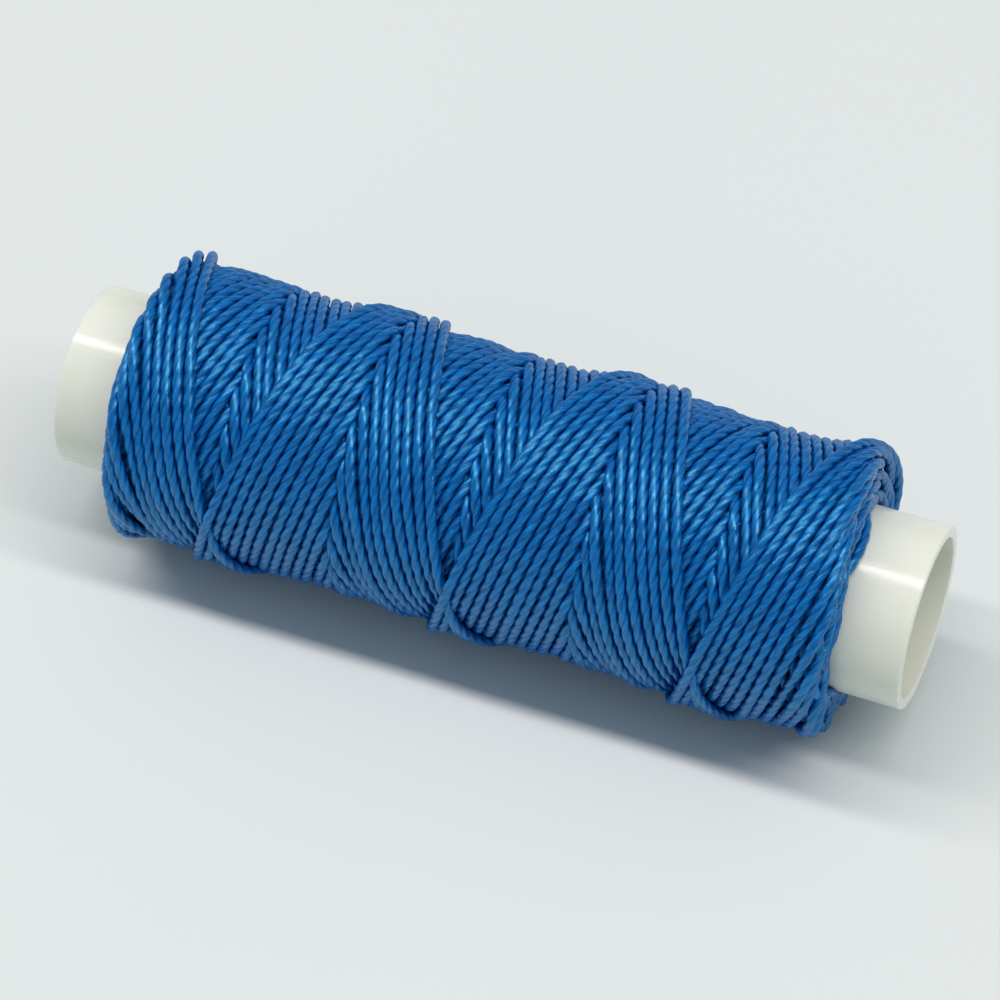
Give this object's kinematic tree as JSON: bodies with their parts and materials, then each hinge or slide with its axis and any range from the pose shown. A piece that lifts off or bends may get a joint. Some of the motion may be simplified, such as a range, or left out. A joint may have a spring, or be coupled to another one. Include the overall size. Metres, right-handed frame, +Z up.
{
  "type": "thread spool",
  "caption": "Open plastic tube with a thick waxed sewing thread cross-wound on its middle, lying on its side.",
  "frame": {"origin": "under the middle of the tube, on the plane the winding rests on", "axes": "+X along the spool's axis, towards the square end of the winding; +Z up, with the spool lying on its side"},
  "size_m": [0.085, 0.0276, 0.0275],
  "materials": {
    "tube_plastic": "satin, slightly translucent",
    "waxed_thread": "waxed, semi-gloss"
  },
  "bodies": {
    "root": {"core_tube": "tube_plastic", "thread_winding": "waxed_thread"}
  },
  "joints": []
}
